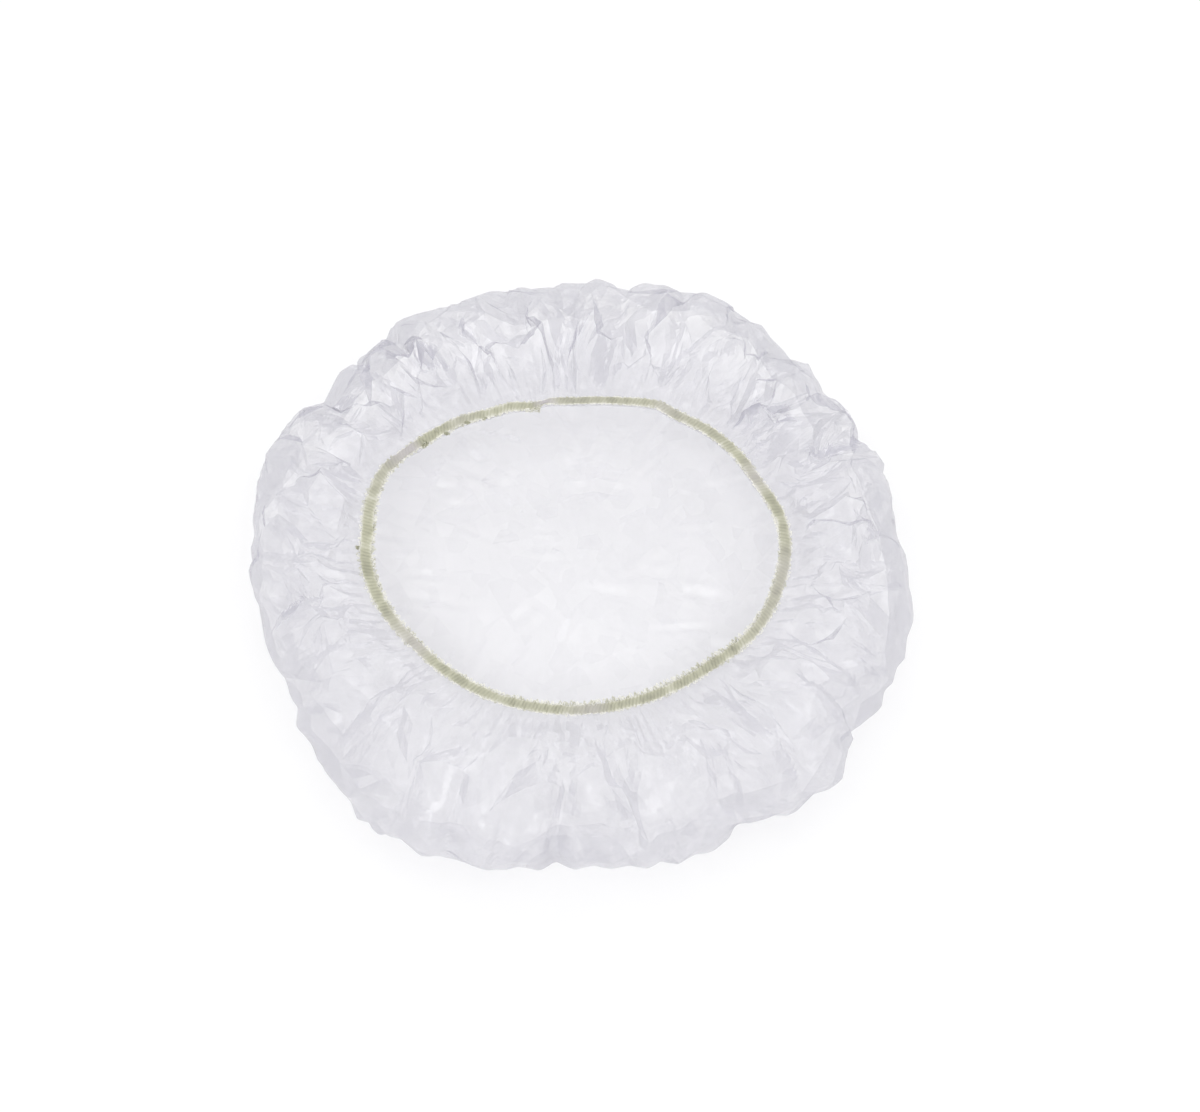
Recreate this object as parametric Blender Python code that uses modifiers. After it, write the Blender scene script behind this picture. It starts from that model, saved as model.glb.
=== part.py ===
"""Disposable shower cap, lying crown down with its mouth up.

A thin film cap is gathered all round its mouth on a narrow elastic band.  The
crown rests flat on the ground, the wall swells out and over into a puffy roof,
and the roof falls to the seat under the band.  Lengths are metres, +X is the
long way across, +Z is up, and the origin lies on the ground under the middle.
"""

import math

import bpy
import numpy as np


def table(names, *rows):
    """Make a table whose columns are found by their names."""
    return dict(zip(names.split(), np.array(rows, dtype=float).T))


# The cap as it lies: its outline, the film's top under the band, and the roof above that
CAP_WIDTH = 0.2712
CAP_DEPTH = 0.2608
SEAT_HEIGHT = 0.0425
ROOF_RISE = 0.0078

# The elastic band, whose loop is measured along the middle of its width
LOOP_WIDTH = 0.1680
LOOP_DEPTH = 0.1366
LOOP_SHIFT_X = -0.0021
LOOP_SHIFT_Y = -0.0051
BAND_WIDTH = 0.0048
BAND_THICKNESS = 0.0013
BAND_CORNER = 0.0004

# The film: its wall, its flat seat past each side of the band, and the loose hem inside that
FILM_WALL = 0.0010
PIECE_GAP = 0.0003
SEAT_MARGIN = 0.0004
HEM_REACH = 0.0012
HEM_RUFFLE = 0.0004

# Gathers: each broad one splits into two fine ones at the band, and a fine one takes two columns
BROAD_GATHERS = 32
COLUMNS_PER_GATHER = 4
BROAD_DEPTH = 0.0019
FINE_DEPTH = 0.0011
BROAD_SWAY = 1.3
BROAD_SWAY_WAVES = 3

# How the gathers grow and fade round the rim: waves in the full circle, share and start
BROAD_DRIFT = table("waves share start", (7, 0.40, 2.0))
FINE_DRIFT = table("waves share start", (5, 0.35, 0.0), (11, 0.25, 1.0))

# The flat crown: its rings halve their points inwards, each this share of the one outside it
CROWN_STEP = 0.72
CROWN_SIDES = 16

# The wall from the seat outwards and down to the heel.  Reach runs from the seat's outer
# edge, 0, to the outline, 1.  Height is a share of SEAT_HEIGHT, rise of ROOF_RISE, and fine
# and broad of the two gathers' depths.
SECTION = table(
    "reach height rise fine broad",
    (0.07, 1.00, 0.14, 0.60, 0.15),
    (0.16, 1.00, 0.48, 1.00, 0.50),
    (0.28, 1.00, 0.82, 0.60, 0.90),
    (0.42, 1.00, 1.00, 0.20, 1.00),
    (0.57, 0.98, 0.97, 0.00, 0.80),
    (0.72, 0.92, 0.82, 0.00, 0.60),
    (0.86, 0.81, 0.50, 0.00, 0.45),
    (0.96, 0.63, 0.15, 0.00, 0.35),
    (1.00, 0.44, 0.00, 0.00, 0.30),
    (0.98, 0.27, 0.00, 0.00, 0.25),
    (0.90, 0.13, 0.00, 0.00, 0.15),
    (0.78, 0.04, 0.00, 0.00, 0.05),
    (0.62, 0.00, 0.00, 0.00, 0.00),
)

# The lobes and notches of the outline, at angles from +X, as shares of the cap's ellipse
LOBES = table(
    "angle share",
    (0, 0.980), (6, 0.968), (17, 0.983), (21, 0.966), (27, 0.985), (41, 0.980), (52, 0.994),
    (64, 1.027), (75, 1.020), (84, 1.002), (92, 0.988), (103, 0.998), (112, 1.003), (124, 1.026),
    (131, 1.008), (138, 1.012), (144, 0.990), (152, 1.024), (160, 1.036), (172, 1.014), (183, 0.996),
    (201, 0.972), (211, 0.984), (222, 1.024), (236, 1.066), (250, 1.040), (258, 1.022), (266, 0.986),
    (276, 0.990), (286, 1.010), (303, 1.002), (316, 1.034), (325, 0.996), (336, 1.006), (348, 1.004),
)

# The bends of the band's loop, as shares of its ellipse, and its lift as a share of ROOF_RISE
RIM = table(
    "angle share lift",
    (0, 1.000, 0.02), (9, 1.008, 0.06), (23, 0.986, 0.02), (34, 1.014, -0.08), (45, 1.026, -0.02),
    (57, 1.020, 0.10), (63, 1.046, 0.14), (75, 1.018, 0.04), (90, 1.000, -0.06), (103, 0.992, -0.02),
    (112, 1.006, 0.08), (120, 1.006, 0.04), (128, 1.034, -0.06), (142, 1.024, -0.02), (155, 1.068, 0.08),
    (168, 1.030, 0.12), (182, 1.000, 0.04), (198, 0.972, -0.06), (213, 0.952, -0.02), (226, 0.970, 0.08),
    (243, 0.990, 0.02), (265, 0.992, -0.08), (282, 0.988, -0.04), (305, 0.970, 0.06), (318, 0.961, 0.10),
    (335, 0.984, 0.02), (350, 0.987, -0.04),
)

# The main creases.  Each runs from an angle at the band, inner, to one at the outline, outer,
# with its depth as a share of FOLD_DEPTH, its half width in degrees, and the stretch of the
# wall that it keeps to: 0 at the seat, 1 at the outline, and more below it.
FOLD_DEPTH = 0.0066
FOLD_LIP = 0.42
FOLD_FADE = 0.16
FOLDS = table(
    "inner outer depth spread start stop",
    (12, 3, 0.80, 4.5, 0.50, 1.00),
    (22, 26, 0.95, 4.0, 0.20, 0.98),
    (39, 48, 1.00, 4.5, 0.10, 0.98),
    (52, 59, 0.50, 3.5, 0.40, 1.00),
    (63, 71, 0.95, 3.8, 0.05, 0.98),
    (83, 81, 1.00, 3.8, 0.04, 0.98),
    (98, 89, 0.80, 3.8, 0.18, 0.98),
    (119, 116, 0.60, 3.4, 0.30, 0.90),
    (127, 129, 0.85, 3.6, 0.20, 1.05),
    (137, 137, 0.70, 3.4, 0.45, 1.15),
    (150, 145, 0.90, 4.2, 0.10, 1.20),
    (168, 166, 0.55, 4.0, 0.30, 1.00),
    (184, 181, 0.50, 3.4, 0.42, 1.00),
    (190, 194, 0.60, 3.6, 0.30, 0.98),
    (203, 206, 0.50, 4.2, 0.35, 1.10),
    (218, 221, 0.95, 5.6, 0.12, 1.00),
    (234, 238, 0.60, 3.8, 0.35, 1.00),
    (244, 247, 0.55, 3.4, 0.40, 0.90),
    (272, 266, 0.60, 3.8, 0.50, 1.10),
    (276, 281, 1.00, 3.8, 0.14, 0.98),
    (300, 295, 0.60, 4.0, 0.35, 0.92),
    (317, 309, 1.00, 4.4, 0.08, 0.98),
    (328, 326, 0.55, 3.4, 0.40, 1.20),
    (339, 331, 0.95, 4.2, 0.10, 0.98),
    (354, 358, 0.50, 3.4, 0.40, 1.00),
)

# Finishes
FILM_COLOUR = (0.83, 0.83, 0.87, 1.0)
FILM_ROUGHNESS = 0.30
BAND_COLOUR = (0.53, 0.53, 0.38, 1.0)
BAND_ROUGHNESS = 0.85
SMOOTH_ANGLE = math.radians(50)


def clear_scene():
    """Remove whatever objects the scene already holds."""
    for found in list(bpy.data.objects):
        bpy.data.objects.remove(found, do_unlink=True)


def collection_named(name):
    """Make a collection in the scene."""
    made = bpy.data.collections.new(name)
    bpy.context.scene.collection.children.link(made)
    return made


def finish_named(name, colour, roughness):
    """Make a plain material with its colour and roughness."""
    made = bpy.data.materials.new(name)
    made.use_nodes = True
    shader = made.node_tree.nodes["Principled BSDF"]
    shader.inputs["Base Color"].default_value = colour
    shader.inputs["Roughness"].default_value = roughness
    shader.inputs["Metallic"].default_value = 0.0
    return made


def around(rows, name, angles):
    """Read a column of a table at any angles, in degrees, round the full circle."""
    return np.interp(angles, rows["angle"], rows[name], period=360.0)


def smooth_step(value):
    """Ease a value from 0 to 1."""
    eased = np.clip(value, 0.0, 1.0)
    return eased * eased * (3.0 - 2.0 * eased)


def column_angles():
    """Angles of the film's columns, in degrees."""
    count = BROAD_GATHERS * COLUMNS_PER_GATHER
    return np.arange(count) * 360.0 / count


def zigzag(count):
    """Up and down by turns, 1 and -1."""
    return np.where(np.arange(count) % 2 == 0, 1.0, -1.0)


def ellipse_points(width, depth, shares, angles):
    """Plan points on an ellipse at the angles, each moved out by its share."""
    turn = np.radians(angles)
    radius = shares / np.hypot(np.cos(turn) / (width / 2), np.sin(turn) / (depth / 2))
    return np.stack([radius * np.cos(turn), radius * np.sin(turn)], axis=1)


def outline_points():
    """Plan points of the cap's widest ring."""
    angles = column_angles()
    return ellipse_points(CAP_WIDTH, CAP_DEPTH, around(LOBES, "share", angles), angles)


def loop_points():
    """Plan points of the band's loop, along the middle of its width."""
    angles = column_angles()
    loop = ellipse_points(LOOP_WIDTH, LOOP_DEPTH, around(RIM, "share", angles), angles)
    return loop + np.array([LOOP_SHIFT_X, LOOP_SHIFT_Y])


def seat_heights():
    """Height of the film's top under the band, at each column."""
    return SEAT_HEIGHT + ROOF_RISE * around(RIM, "lift", column_angles())


def outward(points):
    """Plan directions that point out of a closed ring of points."""
    along = np.roll(points, -1, axis=0) - np.roll(points, 1, axis=0)
    across = np.stack([along[:, 1], -along[:, 0]], axis=1)
    return across / np.linalg.norm(across, axis=1, keepdims=True)


def lifted(plan, heights):
    """Join plan points and heights into points in space."""
    return np.column_stack([plan, np.broadcast_to(heights, len(plan))])


def seat_rings():
    """The film's rings under the band, from its loose hem to the seat's outer edge."""
    loop = loop_points()
    out = outward(loop)
    heights = seat_heights()
    half = BAND_WIDTH / 2 + SEAT_MARGIN
    hem = lifted(loop - out * (half + HEM_REACH), heights + HEM_RUFFLE * zigzag(len(loop)))
    inner = lifted(loop - out * half, heights)
    outer = lifted(loop + out * half, heights)
    return [hem, inner, outer]


def wall_rings():
    """The wall's smooth rings, from the band's side to the heel, before it is gathered."""
    edge = seat_rings()[-1][:, :2]
    outline = outline_points()
    lift = seat_heights() - SEAT_HEIGHT
    rings = []
    for reach, height, rise in zip(SECTION["reach"], SECTION["height"], SECTION["rise"]):
        heights = height * SEAT_HEIGHT + rise * ROOF_RISE + lift * height * (1.0 - reach)
        rings.append(lifted(edge + reach * (outline - edge), heights))
    return np.array(rings)


def wall_normals(rings):
    """Directions square to the wall, out of the cap, at each of its points."""
    along = np.roll(rings, -1, axis=1) - np.roll(rings, 1, axis=1)
    down = np.gradient(rings, axis=0)
    normals = np.cross(down, along)
    return normals / np.linalg.norm(normals, axis=2, keepdims=True)


def wall_course():
    """How far along the wall each ring lies: 0 at the seat, 1 at the outline, more below it."""
    reach = SECTION["reach"]
    below = np.arange(len(reach)) > np.argmax(reach)
    return np.where(below, 2.0 - reach, reach)[:, None]


def drift(waves, turn):
    """How much deeper or shallower the gathers are round the rim, about 1."""
    parts = waves["share"][:, None] * np.sin(waves["waves"][:, None] * turn + waves["start"][:, None])
    return 1.0 + parts.sum(axis=0)


def gather_lift():
    """Lift of the fine and broad gathers over the wall."""
    turn = np.radians(column_angles())
    fine = zigzag(len(turn)) * drift(FINE_DRIFT, turn)
    sway = BROAD_SWAY * np.sin(BROAD_SWAY_WAVES * turn)
    broad = np.cos(BROAD_GATHERS * turn + sway) * drift(BROAD_DRIFT, turn)
    return FINE_DEPTH * SECTION["fine"][:, None] * fine + BROAD_DEPTH * SECTION["broad"][:, None] * broad


def fold_lift():
    """Lift of the main creases over the wall: a valley with a raised lip on each side."""
    fold = {name: values[:, None, None] for name, values in FOLDS.items()}
    course = wall_course()
    middle = fold["inner"] + (fold["outer"] - fold["inner"]) * np.clip(course, 0.0, 1.0)
    aside = np.abs((column_angles() - middle + 180.0) % 360.0 - 180.0) / fold["spread"]
    shape = FOLD_LIP * np.exp(-((aside - 2.0) ** 2)) - np.exp(-(aside ** 2))
    begins = smooth_step((course - fold["start"]) / FOLD_FADE)
    ends = smooth_step((fold["stop"] - course) / FOLD_FADE)
    total = (fold["depth"] * shape * begins * ends).sum(axis=0)
    return FOLD_DEPTH * np.clip(total, -1.0, FOLD_LIP)


def crown_rings(heel):
    """Flat rings inside the heel, each with half the points of the one before."""
    rings = []
    ring = heel
    while len(ring) > CROWN_SIDES and len(ring) % 2 == 0:
        ring = ring[::2] * CROWN_STEP
        rings.append(ring)
    return rings


def join_rings(upper, lower):
    """Faces between two rings of vertex numbers, of which the lower has as many or half as many."""
    count = len(lower)
    faces = []
    for here in range(count):
        after = (here + 1) % count
        if len(upper) == count:
            faces.append((upper[here], lower[here], lower[after], upper[after]))
            continue
        first, middle, last = (upper[(2 * here + step) % len(upper)] for step in range(3))
        faces.append((first, lower[here], middle))
        faces.append((middle, lower[here], lower[after]))
        faces.append((middle, lower[after], last))
    return faces


def film_rings():
    """All rings of the film's outer side, from the hem to the middle of the crown."""
    wall = wall_rings()
    wall = wall + wall_normals(wall) * (gather_lift() + fold_lift())[..., None]
    return seat_rings() + list(wall) + crown_rings(wall[-1])


def make_film(parts):
    """The film: one open sheet from the hem to the crown's middle, thickened inwards."""
    rings = film_rings()
    starts = np.concatenate([[0], np.cumsum([len(ring) for ring in rings])])
    numbers = [range(first, last) for first, last in zip(starts[:-1].tolist(), starts[1:].tolist())]
    faces = []
    for upper, lower in zip(numbers, numbers[1:]):
        faces += join_rings(upper, lower)
    faces.append(tuple(reversed(numbers[-1])))
    mesh = bpy.data.meshes.new("film")
    mesh.from_pydata(np.concatenate(rings).tolist(), [], faces)
    mesh.materials.append(finish_named("film", FILM_COLOUR, FILM_ROUGHNESS))
    mesh.shade_smooth()
    mesh.set_sharp_from_angle(angle=SMOOTH_ANGLE)
    film = bpy.data.objects.new("film", mesh)
    parts.objects.link(film)
    wall = film.modifiers.new("wall", "SOLIDIFY")
    wall.thickness = FILM_WALL
    wall.offset = -1.0


def closed_spline(curve, points):
    """Add a closed run of straight stretches through the points to a curve."""
    spline = curve.splines.new("POLY")
    spline.points.add(len(points) - 1)
    for control, point in zip(spline.points, points):
        control.co = (*point, 1.0)
    spline.use_cyclic_u = True


def make_band_section(guides):
    """The band's section, a flat strip with cut corners, as a guide curve."""
    half = BAND_WIDTH / 2
    rise = BAND_THICKNESS / 2
    corner = ((half - BAND_CORNER, rise), (half, rise - BAND_CORNER))
    section = [(x, y, 0.0) for x, y in corner]
    section += [(x, -y, 0.0) for x, y in reversed(corner)]
    section += [(-x, -y, 0.0) for x, y in corner]
    section += [(-x, y, 0.0) for x, y in reversed(corner)]
    curve = bpy.data.curves.new("band_section", "CURVE")
    curve.dimensions = "2D"
    closed_spline(curve, section)
    guide = bpy.data.objects.new("band_section", curve)
    guide.hide_render = True
    guide.display_type = "WIRE"
    guides.objects.link(guide)
    return guide


def make_band(parts, guides):
    """The elastic band: a closed flat strip that lies on the film's seat all round the mouth."""
    curve = bpy.data.curves.new("elastic_band", "CURVE")
    curve.dimensions = "3D"
    curve.twist_mode = "Z_UP"
    curve.bevel_mode = "OBJECT"
    curve.bevel_object = make_band_section(guides)
    closed_spline(curve, lifted(loop_points(), seat_heights() + PIECE_GAP + BAND_THICKNESS / 2))
    curve.materials.append(finish_named("elastic", BAND_COLOUR, BAND_ROUGHNESS))
    parts.objects.link(bpy.data.objects.new("elastic_band", curve))


def main():
    """Build the cap's two pieces."""
    clear_scene()
    parts = collection_named("shower_cap")
    guides = collection_named("guides")
    make_film(parts)
    make_band(parts, guides)


if __name__ == "__main__":
    main()
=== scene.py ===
"""A disposable shower cap of thin clear film, lying crown down with its mouth up.

The film is one cut disc whose rim is gathered on a narrow overlocked elastic.  A smooth wall runs
from the band's loop out to the cap's outline and down to the flat crown.  Facets, creases,
gathers and scallops are worked into it, because the small mouth can't hold the film flat.
Lengths are in metres, and angles in degrees unless a docstring says radians.
"""

from __future__ import annotations

import logging
import math
from dataclasses import dataclass
from enum import Enum
from typing import NamedTuple

import bpy
import numpy as np
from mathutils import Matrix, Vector


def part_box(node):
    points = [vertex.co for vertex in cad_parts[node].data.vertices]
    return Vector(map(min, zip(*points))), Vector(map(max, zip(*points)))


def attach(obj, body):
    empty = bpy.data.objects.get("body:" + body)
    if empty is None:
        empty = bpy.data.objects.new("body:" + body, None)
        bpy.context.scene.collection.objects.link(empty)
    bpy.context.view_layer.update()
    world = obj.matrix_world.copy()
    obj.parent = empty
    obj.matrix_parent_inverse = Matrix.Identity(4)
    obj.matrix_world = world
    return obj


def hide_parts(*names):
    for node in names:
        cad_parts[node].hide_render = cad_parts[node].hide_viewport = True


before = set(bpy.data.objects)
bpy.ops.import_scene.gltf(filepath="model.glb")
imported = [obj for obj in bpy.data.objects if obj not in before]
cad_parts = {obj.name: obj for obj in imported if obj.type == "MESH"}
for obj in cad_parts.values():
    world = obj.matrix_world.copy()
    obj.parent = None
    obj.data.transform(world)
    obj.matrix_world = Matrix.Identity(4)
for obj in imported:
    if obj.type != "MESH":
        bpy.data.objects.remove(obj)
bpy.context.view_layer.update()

Array = np.ndarray
Colour = tuple[float, float, float]
Draws = np.random.Generator
Range = tuple[float, float]
Table = dict[str, Array]
UP = np.array([0.0, 0.0, 1.0])
log = logging.getLogger("shower_cap")


def table(names: str, *rows: tuple[float, ...]) -> Table:
    """Make a table whose columns are found by their names.

    Args:
        names: The columns' names, parted by spaces.
        rows: One tuple of numbers for each row.

    Returns:
        A dict of one array for each column.
    """
    return dict(zip(names.split(), np.array(rows, dtype=float).T))


# The lobes and notches of the outline, as shares of the cap's ellipse
LOBES = table(
    "angle share",
    (0, 1.000), (6, 0.978), (17, 0.994), (21, 0.946), (27, 0.992), (42, 0.966), (51, 1.006),
    (64, 1.032), (70, 1.046), (75, 1.018), (80, 1.050), (86, 1.022), (92, 0.982), (103, 1.006),
    (112, 1.004), (118, 1.018), (125, 1.012), (131, 0.998), (135, 0.988), (139, 0.956),
    (144, 0.972), (152, 1.026), (160, 1.036), (172, 1.006), (183, 0.998), (190, 0.986),
    (201, 0.964), (211, 0.972), (218, 1.004), (236, 1.066), (243, 1.066), (250, 1.080),
    (258, 1.050), (266, 0.990), (276, 1.000), (281, 1.036), (290, 1.024), (296, 1.012),
    (300, 0.984), (304, 1.030), (309, 1.076), (316, 1.082), (321, 1.024), (325, 0.998),
    (337, 1.018), (344, 1.028), (351, 1.022),
)

# The bends of the band's loop, as shares of its ellipse, and its lift as a share of the roof's rise
RIM = table(
    "angle share lift",
    (0, 1.000, 0.02), (9, 1.008, 0.06), (23, 0.986, 0.02), (34, 1.014, -0.08),
    (45, 1.026, -0.02), (57, 1.020, 0.10), (63, 1.046, 0.14), (75, 1.018, 0.04),
    (90, 1.000, -0.06), (100, 1.008, -0.04), (105, 0.984, -0.02), (112, 1.006, 0.08),
    (120, 1.006, 0.04), (128, 1.034, -0.06), (141, 1.040, -0.02), (155, 1.066, 0.08),
    (168, 1.026, 0.12), (174, 1.002, 0.10), (182, 1.002, 0.04), (198, 0.972, -0.06),
    (213, 0.952, -0.02), (226, 0.970, 0.08), (243, 0.990, 0.02), (265, 0.992, -0.08),
    (282, 0.988, -0.04), (305, 0.970, 0.06), (318, 0.961, 0.10), (335, 0.984, 0.02),
    (350, 0.987, -0.04),
)

# The wall from the hem outwards and down to the flat crown.  Reach below 0 runs back under the
# band, to the hem at -1, and from 0 at the seat's edge to the outline at 1; height is a share
# of the seat's and rise of the roof's rise.  Fine and crush are the shares of the gathers and of
# the crumpling.
SECTION = table(
    "reach height rise fine crush",
    (-1.00, 1.00, 0.02, 0.50, 0.00), (-0.82, 1.00, 0.00, 0.10, 0.00),
    (0.00, 1.00, 0.00, 0.25, 0.00), (0.07, 1.00, 0.09, 0.90, 0.30),
    (0.16, 1.00, 0.32, 0.90, 0.70), (0.28, 1.00, 0.64, 0.60, 1.00),
    (0.42, 1.00, 0.90, 0.30, 1.00), (0.57, 1.00, 1.00, 0.12, 1.00),
    (0.72, 0.93, 0.86, 0.03, 0.90), (0.86, 0.84, 0.54, 0.00, 0.58),
    (0.96, 0.66, 0.20, 0.00, 0.31), (1.00, 0.46, 0.00, 0.00, 0.20),
    (0.98, 0.28, 0.00, 0.00, 0.17), (0.90, 0.13, 0.00, 0.00, 0.11),
    (0.78, 0.04, 0.00, 0.00, 0.05), (0.62, 0.00, 0.00, 0.00, 0.00),
)

# The main creases, from an angle at the band, inner, to one at the outline, outer.  Start and
# stop say which stretch of the wall each keeps to: 0 at the seat, 1 at the outline, more below.
FOLDS = table(
    "inner outer depth spread start stop",
    (12, 3, 0.80, 4.5, 0.50, 1.00), (22, 24, 1.00, 4.0, 0.20, 1.15),
    (39, 48, 1.00, 4.5, 0.10, 0.98), (52, 59, 0.50, 3.5, 0.40, 1.00),
    (63, 71, 0.95, 3.8, 0.05, 0.98), (83, 81, 1.00, 3.8, 0.04, 0.98),
    (98, 89, 0.80, 3.8, 0.18, 0.98), (119, 116, 0.60, 3.4, 0.30, 0.90),
    (127, 129, 0.85, 3.6, 0.20, 1.05), (137, 137, 0.70, 3.4, 0.45, 1.15),
    (150, 145, 0.90, 4.2, 0.10, 1.20), (168, 166, 0.55, 4.0, 0.30, 1.00),
    (184, 181, 0.50, 3.4, 0.42, 1.00), (190, 194, 0.60, 3.6, 0.30, 0.98),
    (203, 206, 0.50, 4.2, 0.35, 1.10), (218, 221, 0.95, 5.6, 0.12, 1.00),
    (234, 238, 0.60, 3.8, 0.35, 1.00), (244, 248, 0.60, 3.2, 0.40, 1.15),
    (257, 256, 0.40, 2.4, 0.70, 1.15), (272, 266, 0.60, 3.8, 0.50, 1.10),
    (276, 281, 1.00, 3.8, 0.14, 0.98), (286, 287, 0.40, 2.4, 0.70, 1.15),
    (303, 299, 0.60, 3.6, 0.35, 1.18), (317, 309, 1.00, 4.4, 0.08, 0.98),
    (328, 326, 0.85, 3.2, 0.40, 1.20), (339, 331, 0.95, 4.2, 0.10, 0.98),
    (354, 358, 0.50, 3.4, 0.40, 1.00),
)

# Tucks that lay the roof's film over itself: each one's middle in plan, its half length and half
# width, its way round from +X, and how many layers it adds
TUCKS = table(
    "x y length width way layers",
    (-0.064, 0.083, 0.0140, 0.0050, -41, 2.2), (-0.083, 0.080, 0.0130, 0.0042, 20, 1.8),
    (-0.048, 0.096, 0.0110, 0.0030, -65, 1.5), (-0.097, 0.060, 0.0100, 0.0034, 12, 1.5),
    (-0.001, 0.093, 0.0100, 0.0026, 58, 1.4), (0.071, 0.062, 0.0110, 0.0028, 80, 1.8),
    (0.081, 0.056, 0.0100, 0.0040, -35, 1.4), (0.102, 0.041, 0.0160, 0.0030, 15, 1.9),
    (0.117, 0.001, 0.0080, 0.0028, 60, 1.4), (-0.117, -0.030, 0.0110, 0.0028, 36, 1.4),
)

# How crumpled the wall is round the cap
CRUMPLE = table(
    "angle share",
    (0, 0.85), (30, 1.20), (60, 1.00), (90, 0.90), (120, 1.15), (150, 1.20), (180, 0.85),
    (198, 0.55), (210, 0.36), (225, 0.40), (250, 0.26), (285, 0.32), (320, 0.50), (345, 0.75),
)

# How wide the elastic lies, as a share of its full width
ELASTIC_WIDTH = table(
    "angle share",
    (0, 0.92), (16, 0.88), (22, 0.76), (28, 0.84), (60, 0.82), (68, 0.72), (84, 0.65), (99, 0.66),
    (102, 0.50), (104, 0.26), (106, 0.50), (109, 0.78), (128, 0.82), (140, 0.86), (145, 0.98),
    (149, 0.66), (153, 0.70), (157, 0.88), (168, 0.98), (180, 1.00), (192, 0.94), (211, 0.86),
    (215, 0.74), (219, 0.84), (272, 0.80), (315, 0.84), (345, 0.90),
)

# How plainly the overlock's second thread crosses the first
CROSSING = table(
    "angle share",
    (0, 1.5), (20, 1.0), (60, 0.8), (90, 0.5), (110, 0.6), (140, 0.6), (160, 0.8), (200, 1.0),
    (235, 1.6), (270, 2.6), (320, 2.6), (345, 1.8),
)

# Where the elastic greys, under a fold of film or at a twist
VEIL = table(
    "angle share",
    (0, 0.15), (14, 0.10), (22, 0.60), (30, 0.10), (50, 0.20), (61, 0.45), (66, 0.15), (98, 0.25),
    (104, 1.00), (109, 0.10), (125, 0.10), (134, 0.30), (140, 0.05), (146, 0.10), (149, 0.85),
    (153, 0.75), (158, 0.30), (176, 0.05), (200, 0.10), (215, 0.60), (222, 0.10), (262, 0.10),
    (274, 0.55), (280, 0.10), (318, 0.10), (340, 0.30), (352, 0.45),
)

# How far the overlock's thread loops stand off its inner and outer edges
FRILL = table(
    "angle inner outer",
    (0, 0.0011, 0.0010), (30, 0.0008, 0.0007), (62, 0.0005, 0.0005), (75, 0.0004, 0.0003),
    (100, 0.0004, 0.0003), (108, 0.0009, 0.0005), (140, 0.0010, 0.0006), (160, 0.0014, 0.0010),
    (180, 0.0018, 0.0012), (200, 0.0014, 0.0010), (218, 0.0010, 0.0008), (250, 0.0012, 0.0007),
    (272, 0.0019, 0.0008), (298, 0.0021, 0.0008), (322, 0.0016, 0.0009), (345, 0.0010, 0.0010),
)

# Tangles of thread on the elastic: where each sits, across as a share of the elastic's half
# width, how far it reaches, its loops and its tone
TANGLES = table(
    "angle across reach loops tone",
    (145.5, -0.8, 0.0015, 18, 0.48), (140.5, 0.6, 0.0014, 12, 0.66),
    (138.5, -1.3, 0.0013, 10, 0.44), (131.0, -1.1, 0.0011, 7, 0.40),
    (125.5, -1.2, 0.0010, 6, 0.50), (107.0, -1.4, 0.0018, 10, 0.75),
    (110.5, -1.2, 0.0012, 8, 1.00), (182.5, 1.3, 0.0010, 5, 0.35),
    (274.0, -1.2, 0.0013, 8, 0.90),
)


class Slot(Enum):
    """The record's finishes that a piece may take."""

    FILM = "film"
    ELASTIC = "elastic"


def around(rows: Table, name: str, angles: Array) -> Array:
    """Read a column of a table at any angles round the full circle.

    Args:
        rows: A table with an angle column.
        name: The column to read.
        angles: Where to read it.

    Returns:
        The column's values there, straight between the rows.
    """
    return np.interp(angles, rows["angle"], rows[name], period=360.0)


def smooth_step(value: Array) -> Array:
    """Ease from 0 to 1: three times the square less twice the cube of the clipped value.

    Args:
        value: Any numbers.

    Returns:
        The eased numbers.
    """
    eased = np.clip(value, 0.0, 1.0)
    return eased * eased * (3.0 - 2.0 * eased)


def through(rows: Array, at: Array) -> Array:
    """Run a smooth curve through rows: cubic pieces whose slope at a row joins its neighbours.

    Args:
        rows: Rows of points or numbers, along the first axis.
        at: Where to read the curve, as row numbers with fractions.

    Returns:
        The curve at each place, along the first axis.
    """
    last = len(rows) - 1
    padded = np.concatenate([2 * rows[:1] - rows[1:2], rows, 2 * rows[-1:] - rows[-2:-1]])
    base = np.clip(np.floor(at).astype(int), 0, last - 1)
    part = (at - base).reshape(-1, *[1] * (rows.ndim - 1))
    before, here, after, beyond = (padded[base + step] for step in range(4))
    bend = 2 * before - 5 * here + 4 * after - beyond
    turn = 3 * here - before - 3 * after + beyond
    return here + 0.5 * part * (after - before + part * (bend + part * turn))


def fitted(plan: Array, low: Array, high: Array) -> Array:
    """Stretch plan points evenly so that they just fill a box.

    Args:
        plan: Plan points, one a row.
        low: The box's lowest corner.
        high: The box's highest corner.

    Returns:
        The stretched points.
    """
    lowest, highest = plan.min(axis=0), plan.max(axis=0)
    return low + (plan - lowest) * (high - low) / (highest - lowest)


def unit(vectors: Array) -> Array:
    """Vectors brought to a length of one, each along the last axis."""
    return vectors / np.linalg.norm(vectors, axis=-1, keepdims=True)


def outward(points: Array) -> Array:
    """Plan directions that point out of a closed ring of points.

    Args:
        points: Plan points that run round against the clock.

    Returns:
        One unit direction for each point: the way along the ring, turned a quarter outwards.
    """
    along = np.roll(points, -1, axis=0) - np.roll(points, 1, axis=0)
    return unit(np.stack([along[:, 1], -along[:, 0]], axis=1))


def headings(turn: float) -> tuple[Array, Array]:
    """Plan directions at an angle in radians: along it, and square to it on the left."""
    return np.array([math.cos(turn), math.sin(turn)]), np.array([-math.sin(turn), math.cos(turn)])


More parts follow.
